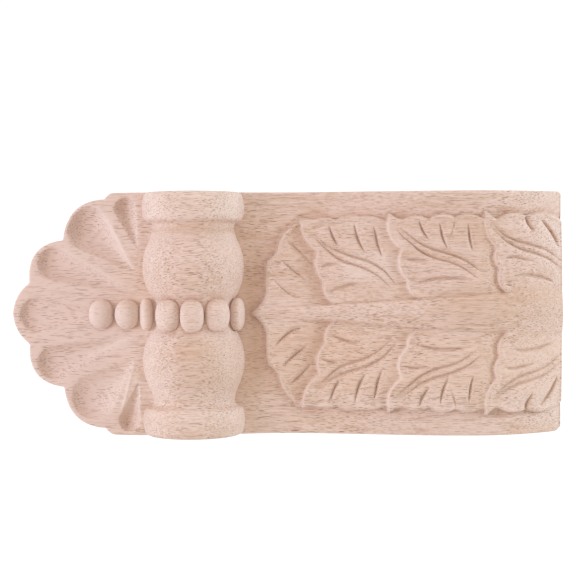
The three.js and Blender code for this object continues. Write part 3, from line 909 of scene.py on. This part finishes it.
def local_tones(base, sideways, height, front, midrib):
    """Broad changes of tone over the block, in metres: a warmer half, a tan rib and a tan band on the
    roll, a painted highlight on the collar of -X, a pale stretch of the leaf, and a rosier shell."""
    warmer = sideways.ramp(0.002, 0.016) * sideways.ramp(0.042, 0.03) * front
    base = base.blend(warmer * height.ramp(-0.04, -0.01) * 0.35, WARM)
    base = base.blend(midrib * 0.35, TAN)
    roll = height.ramp(-0.064, -0.060) * height.ramp(-0.019, -0.022) * front
    roll_middle = sideways.ramp(0.008, 0.014) * sideways.ramp(0.036, 0.030)
    base = base.blend(roll * height.ramp(-0.052, -0.045) * roll_middle * 0.3, TAN)
    # Painted highlight on the roll's collar of -X
    base = base.blend(roll * sideways.ramp(-0.040, -0.043) * 0.4, PALE)
    mild = sideways.ramp(-0.030, -0.024) * sideways.ramp(-0.012, -0.018) * front
    base = base.blend(mild * height.ramp(0.022, 0.030) * height.ramp(0.052, 0.044) * 0.4, PALE)
    return base.blend(height.ramp(-0.058, -0.085) * (0.35 + 0.5 * front), ROSE)


def bare_wood():
    """Pale pinkish hardwood, sanded and left bare: streaks and pores along the grain, fine fibre, paler
    where it cuts across the grain, painted highlights on rounded edges, and painted shade down in the
    cuts and crevices. Below the roll the grain leans with the shell's face. Local tones are on the front
    alone."""
    material = bpy.data.materials.new("bare_wood")
    material.use_nodes = True
    tree = material.node_tree
    tree.nodes.clear()
    shader = tree.nodes.new("ShaderNodeBsdfPrincipled")
    output = tree.nodes.new("ShaderNodeOutputMaterial")
    tree.links.new(shader.outputs[0], output.inputs[0])
    place = Wire(tree, tree.nodes.new("ShaderNodeTexCoord").outputs["Object"])
    painted_shade, edge, slant = [place.node("ShaderNodeAttribute", {"attribute_name": name}, output=2)
                           for name in ("painted_shade", "edge", "slant")]
    sideways = place.axis(0)
    front = place.axis(1).ramp(-0.012, -0.024)
    height = place.axis(2)
    midrib = sideways.ramp(-0.016, -0.006) * sideways.ramp(0.008, 0.0) * height.ramp(0.055, 0.08) * front
    lean = (height - SHELL_ROOT_HEIGHT / 1000.0).math("MINIMUM", 0.0) * SHELL_SLOPE
    bend = place.node("ShaderNodeCombineXYZ", {}, {"Y": lean})
    grain = place.node("ShaderNodeVectorMath", {"operation": "ADD"}, {0: place, 1: bend})
    fibre = grain.stretch(2200, 2200, 220).noise(2.0, 0.6)
    fleck = grain.stretch(1500, 1500, 700).noise(1.0)
    pore = open_pores(grain, edge)
    colour = streaked_wood(grain, midrib)
    colour = colour.blend(fibre.ramp(0.45, 0.75) * 0.24, DARK)
    colour = colour.blend(fleck.ramp(0.5, 0.8) * 0.14, DARK)
    colour = local_tones(colour, sideways, height, front, midrib)
    colour = colour.blend(slant.ramp(0.25, 0.8) * 0.3, PALE)
    # Painted highlight where the edge mark is: on rounded free edges, on the beads, on a collar and along
    # the shell's crests
    colour = colour.blend(edge * 0.28, PALE)
    # Painted shade: tan where the shade mark is, and more tan where it is strongest
    colour = colour.blend(painted_shade.ramp(0.0, 1.4) * 0.42, TAN)
    colour = colour.blend(painted_shade.ramp(1.5, 3.0) * 0.4, TAN)
    colour = colour.blend(pore, DARK)
    tree.links.new(colour.socket, shader.inputs["Base Color"])
    rough = 0.62 + 0.12 * fibre
    tree.links.new(rough.socket, shader.inputs["Roughness"])
    shader.inputs["Specular IOR Level"].default_value = 0.32
    shader.inputs["Sheen Weight"].default_value = 0.12
    shader.inputs["Sheen Roughness"].default_value = 0.5
    relief = fibre * 0.11 + fleck * 0.10 - pore * 0.55
    bump = place.node("ShaderNodeBump", {}, {"Height": relief, "Strength": 0.5, "Distance": 0.00025})
    tree.links.new(bump.socket, shader.inputs["Normal"])
    return material


corbel = build_corbel()
scene.collection.objects.link(corbel)
corbel.data.materials.append(bare_wood())
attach(corbel, "root")
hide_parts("corbel")


# A plain pale floor well below the corbel, outside the camera's view
FLOOR_HALF = 1.5
FLOOR_HEIGHT = -1.1
floor_corners = [(x * FLOOR_HALF, y * FLOOR_HALF, FLOOR_HEIGHT)
                 for x, y in ((-1, -1), (1, -1), (1, 1), (-1, 1))]
floor_mesh = bpy.data.meshes.new("floor")
floor_mesh.from_pydata(floor_corners, [], [(0, 1, 2, 3)])
floor = bpy.data.objects.new("floor", floor_mesh)
scene.collection.objects.link(floor)
floor_paint = bpy.data.materials.new("floor_paint")
floor_paint.use_nodes = True
floor_shader = floor_paint.node_tree.nodes["Principled BSDF"]
floor_shader.inputs["Base Color"].default_value = (0.86, 0.86, 0.85, 1)
floor_shader.inputs["Roughness"].default_value = 0.8
floor_mesh.materials.append(floor_paint)


# Studio light: a white surround that the camera sees, a softer and warmer one that lights, and five
# square lamps round the corbel, the strongest of them above its top end and in front of its shell
SURROUND_SEEN = (1.08, 1.08, 1.08, 1.0)
SURROUND_LIGHT = (0.80, 0.765, 0.71, 1.0)
LAMP_SIZE = 0.35
LAMP_AIM = Vector((0.0, -0.02, 0.0))
LAMPS = (
    ("key", (-0.01, -0.57, -0.78), 3.1, (0.92, 0.95, 1.13)),
    ("shell_end", (0.04, -0.20, -0.94), 1.2, (0.75, 0.95, 1.30)),
    ("top_end", (-0.22, -0.24, 0.90), 4.0, (0.78, 1.0, 1.18)),
    ("left", (-0.94, -0.20, 0.0), 1.2, (0.95, 1.0, 1.05)),
    ("right", (0.94, -0.20, 0.0), 0.5, (0.95, 1.0, 1.05)),
)
world = bpy.data.worlds.new("studio")
scene.world = world
world.use_nodes = True
world_tree = world.node_tree
world_tree.nodes.clear()
path = Wire(world_tree, world_tree.nodes.new("ShaderNodeLightPath").outputs["Is Camera Ray"])
soft = Wire(world_tree, world_tree.nodes.new("ShaderNodeRGB").outputs[0])
soft.socket.default_value = SURROUND_LIGHT
seen = soft.blend(path, SURROUND_SEEN)
surround = path.node("ShaderNodeBackground", {}, {"Color": seen, "Strength": 1.0})
world_output = world_tree.nodes.new("ShaderNodeOutputWorld")
world_tree.links.new(surround.socket, world_output.inputs[0])
for name, place, power, colour in LAMPS:
    lamp_data = bpy.data.lights.new(name, "AREA")
    lamp_data.size = LAMP_SIZE
    lamp_data.energy = power
    lamp_data.color = colour
    lamp = bpy.data.objects.new(name, lamp_data)
    aim = (LAMP_AIM - Vector(place)).to_track_quat("-Z", "Y")
    lamp.matrix_world = Matrix.Translation(place) @ aim.to_matrix().to_4x4()
    scene.collection.objects.link(lamp)
scene.view_settings.view_transform = "Standard"

bpy.context.view_layer.update()
